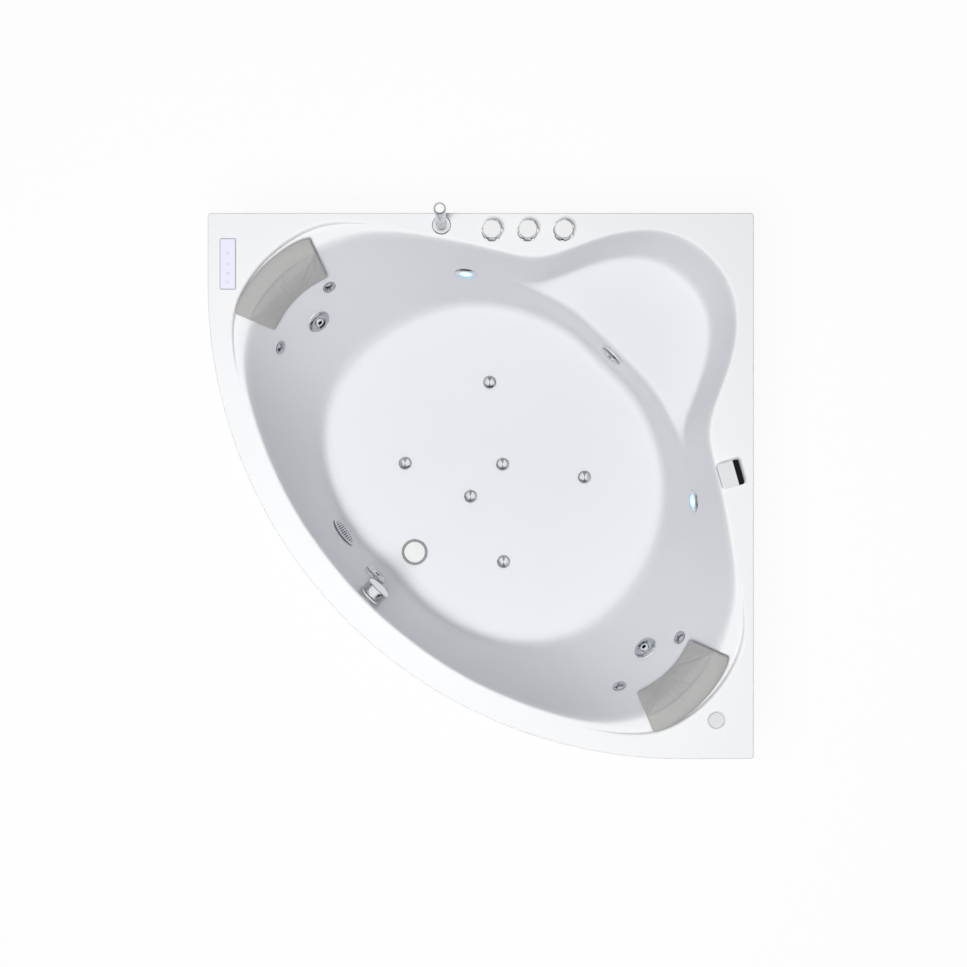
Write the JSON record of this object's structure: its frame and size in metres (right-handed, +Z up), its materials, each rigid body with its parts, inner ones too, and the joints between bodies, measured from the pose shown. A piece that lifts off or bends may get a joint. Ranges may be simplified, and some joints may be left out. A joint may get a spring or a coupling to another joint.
{
  "type": "corner jetted bathtub",
  "caption": "Symmetric corner jetted bathtub with moulded seat and backrests, massage jets, headrest pillows, deck taps, waterfall spout, bowed apron, frame, pump and pipework.",
  "frame": {"origin": "on the floor under the middle of the square plan", "axes": "+Z up; the two straight sides that stand against the walls face +X and +Y, the bowed front faces -X and -Y"},
  "size_m": [1.5, 1.5, 0.8054],
  "materials": {
    "acrylic": "glossy white",
    "apron": "glossy white",
    "pillow": "soft matt grey skin over foam",
    "chrome": "polished",
    "white_trim": "glossy white",
    "lens": "clear with a cold white glow",
    "panel_glass": "glossy pale",
    "black_trim": "glossy black",
    "brass": "raw",
    "fitting": "moulded",
    "pvc": "smooth",
    "hose": "smooth",
    "frame_steel": "grey paint",
    "steel": "plated",
    "board": "plain board",
    "motor": "cast, painted grey",
    "box": "matt grey"
  },
  "bodies": {
    "bath": {"tub_shell": "acrylic", "main_jet_bodies": "white_trim", "micro_jet_bodies": "white_trim", "micro_jet_faces": "chrome", "light_housings": "chrome", "light_lenses": "lens", "suction_body": "white_trim", "suction_grille": "chrome", "overflow_body": "white_trim", "floor_jet_bodies": "white_trim", "floor_jet_caps": "chrome", "drain_flange": "chrome", "waste_trap": "pvc", "tap_escutcheons": "chrome", "tap_valves": "brass", "mixer_pipes": "pvc", "shower_holder": "chrome", "waterfall_spout": "chrome", "spout_insert": "black_trim", "air_control_body": "chrome", "control_panel_housing": "white_trim", "control_panel_glass": "panel_glass", "deck_lock_nuts": "fitting", "wall_lock_nuts": "fitting", "pillow_left": "pillow", "pillow_right": "pillow", "support_frame": "frame_steel", "base_board": "board", "front_apron": "apron", "apron_screws": "steel", "foot_lock_nuts": "steel", "pump_volute": "fitting", "pump_motor": "motor", "blower_housing": "fitting", "control_box": "box", "pressure_pipe": "pvc", "suction_pipe": "pvc", "air_pipe": "hose"},
    "hot_knob": {"hot_knob": "chrome"},
    "cold_knob": {"cold_knob": "chrome"},
    "diverter_knob": {"diverter_knob": "chrome"},
    "hand_shower": {"hand_shower": "chrome"},
    "overflow_knob": {"overflow_knob": "chrome"},
    "drain_plug": {"drain_plug": "chrome"},
    "air_control_cap": {"air_control_cap": "chrome"},
    "pump_rotor": {"pump_rotor": "steel"},
    "blower_rotor": {"blower_rotor": "steel"},
    "levelling_foot_1": {"levelling_foot_1": "steel"},
    "levelling_foot_2": {"levelling_foot_2": "steel"},
    "levelling_foot_3": {"levelling_foot_3": "steel"},
    "levelling_foot_4": {"levelling_foot_4": "steel"},
    "levelling_foot_5": {"levelling_foot_5": "steel"},
    "jet_ring_left": {"jet_ring_left": "chrome"},
    "jet_nozzle_left": {"jet_nozzle_left": "chrome"},
    "jet_ring_right": {"jet_ring_right": "chrome"},
    "jet_nozzle_right": {"jet_nozzle_right": "chrome"},
    "jet_ring_seat": {"jet_ring_seat": "chrome"},
    "jet_nozzle_seat": {"jet_nozzle_seat": "chrome"},
    "jet_ring_front": {"jet_ring_front": "chrome"},
    "jet_nozzle_front": {"jet_nozzle_front": "chrome"}
  },
  "joints": [
    {"name": "hot_tap_turn", "type": "hinge", "parent": "bath", "child": "hot_knob", "pos_m": [0.03, 0.699, 0.62], "axis": [0, 0, 1], "range_deg": [0, 90]},
    {"name": "cold_tap_turn", "type": "hinge", "parent": "bath", "child": "cold_knob", "pos_m": [0.128, 0.699, 0.62], "axis": [0, 0, 1], "range_deg": [0, 90]},
    {"name": "diverter_turn", "type": "hinge", "parent": "bath", "child": "diverter_knob", "pos_m": [0.226, 0.699, 0.62], "axis": [0, 0, 1], "range_deg": [-45, 45]},
    {"name": "hand_shower_lift", "type": "slide", "parent": "bath", "child": "hand_shower", "axis": [0, 0.0872, 0.9962], "range_m": [0, 0.25]},
    {"name": "overflow_turn", "type": "hinge", "parent": "bath", "child": "overflow_knob", "pos_m": [-0.30725, -0.30725, 0.54486], "axis": [0.6964, 0.6964, 0.1736], "range_deg": [0, 90]},
    {"name": "plug_lift", "type": "slide", "parent": "bath", "child": "drain_plug", "axis": [0, 0, 1], "range_m": [0, 0.01]},
    {"name": "air_control_turn", "type": "hinge", "parent": "bath", "child": "air_control_cap", "pos_m": [0.646, -0.643, 0.62], "axis": [0, 0, 1], "range_deg": [0, 180]},
    {"name": "jet_left_turn", "type": "hinge", "parent": "bath", "child": "jet_ring_left", "pos_m": [-0.47037, 0.47607, 0.38158], "axis": [0.6344, -0.5702, 0.5219], "range_deg": [0, 90]},
    {"name": "jet_left_tilt", "type": "hinge", "parent": "jet_ring_left", "child": "jet_nozzle_left", "pos_m": [-0.471, 0.47664, 0.38106], "axis": [0.6685, 0.7437, 0], "range_deg": [-14, 14]},
    {"name": "jet_right_turn", "type": "hinge", "parent": "bath", "child": "jet_ring_right", "pos_m": [0.47607, -0.47037, 0.38158], "axis": [-0.5702, 0.6344, 0.5219], "range_deg": [0, 90]},
    {"name": "jet_right_tilt", "type": "hinge", "parent": "jet_ring_right", "child": "jet_nozzle_right", "pos_m": [0.47664, -0.471, 0.38106], "axis": [-0.7437, -0.6685, 0], "range_deg": [-14, 14]},
    {"name": "jet_seat_turn", "type": "hinge", "parent": "bath", "child": "jet_ring_seat", "pos_m": [0.38178, 0.38178, 0.33992], "axis": [-0.704, -0.704, 0.0944], "range_deg": [0, 90]},
    {"name": "jet_seat_tilt", "type": "hinge", "parent": "jet_ring_seat", "child": "jet_nozzle_seat", "pos_m": [0.38248, 0.38248, 0.33983], "axis": [0.7071, -0.7071, 0], "range_deg": [-14, 14]},
    {"name": "jet_front_turn", "type": "hinge", "parent": "bath", "child": "jet_ring_front", "pos_m": [-0.30807, -0.26043, 0.36085], "axis": [0.6929, 0.6996, 0.1747], "range_deg": [0, 90]},
    {"name": "jet_front_tilt", "type": "hinge", "parent": "jet_ring_front", "child": "jet_nozzle_front", "pos_m": [-0.30877, -0.26113, 0.36067], "axis": [-0.7105, 0.7037, 0], "range_deg": [-14, 14]},
    {"name": "pump_spin", "type": "hinge", "parent": "bath", "child": "pump_rotor", "pos_m": [-0.49976, 0.54418, 0.166], "axis": [-0.6685, -0.7437, 0], "continuous": true},
    {"name": "blower_spin", "type": "hinge", "parent": "bath", "child": "blower_rotor", "pos_m": [0.54118, -0.54279, 0.104], "axis": [0, 0, 1], "continuous": true},
    {"name": "foot_1_level", "type": "slide", "parent": "bath", "child": "levelling_foot_1", "axis": [0, 0, -1], "range_m": [0, 0.02]},
    {"name": "foot_2_level", "type": "slide", "parent": "bath", "child": "levelling_foot_2", "axis": [0, 0, -1], "range_m": [0, 0.02]},
    {"name": "foot_3_level", "type": "slide", "parent": "bath", "child": "levelling_foot_3", "axis": [0, 0, -1], "range_m": [0, 0.02]},
    {"name": "foot_4_level", "type": "slide", "parent": "bath", "child": "levelling_foot_4", "axis": [0, 0, -1], "range_m": [0, 0.02]},
    {"name": "foot_5_level", "type": "slide", "parent": "bath", "child": "levelling_foot_5", "axis": [0, 0, -1], "range_m": [0, 0.02]}
  ],
  "couplings": [
    {"joint": "plug_lift", "follows": "overflow_turn", "m_per_rad": 0.006366}
  ]
}
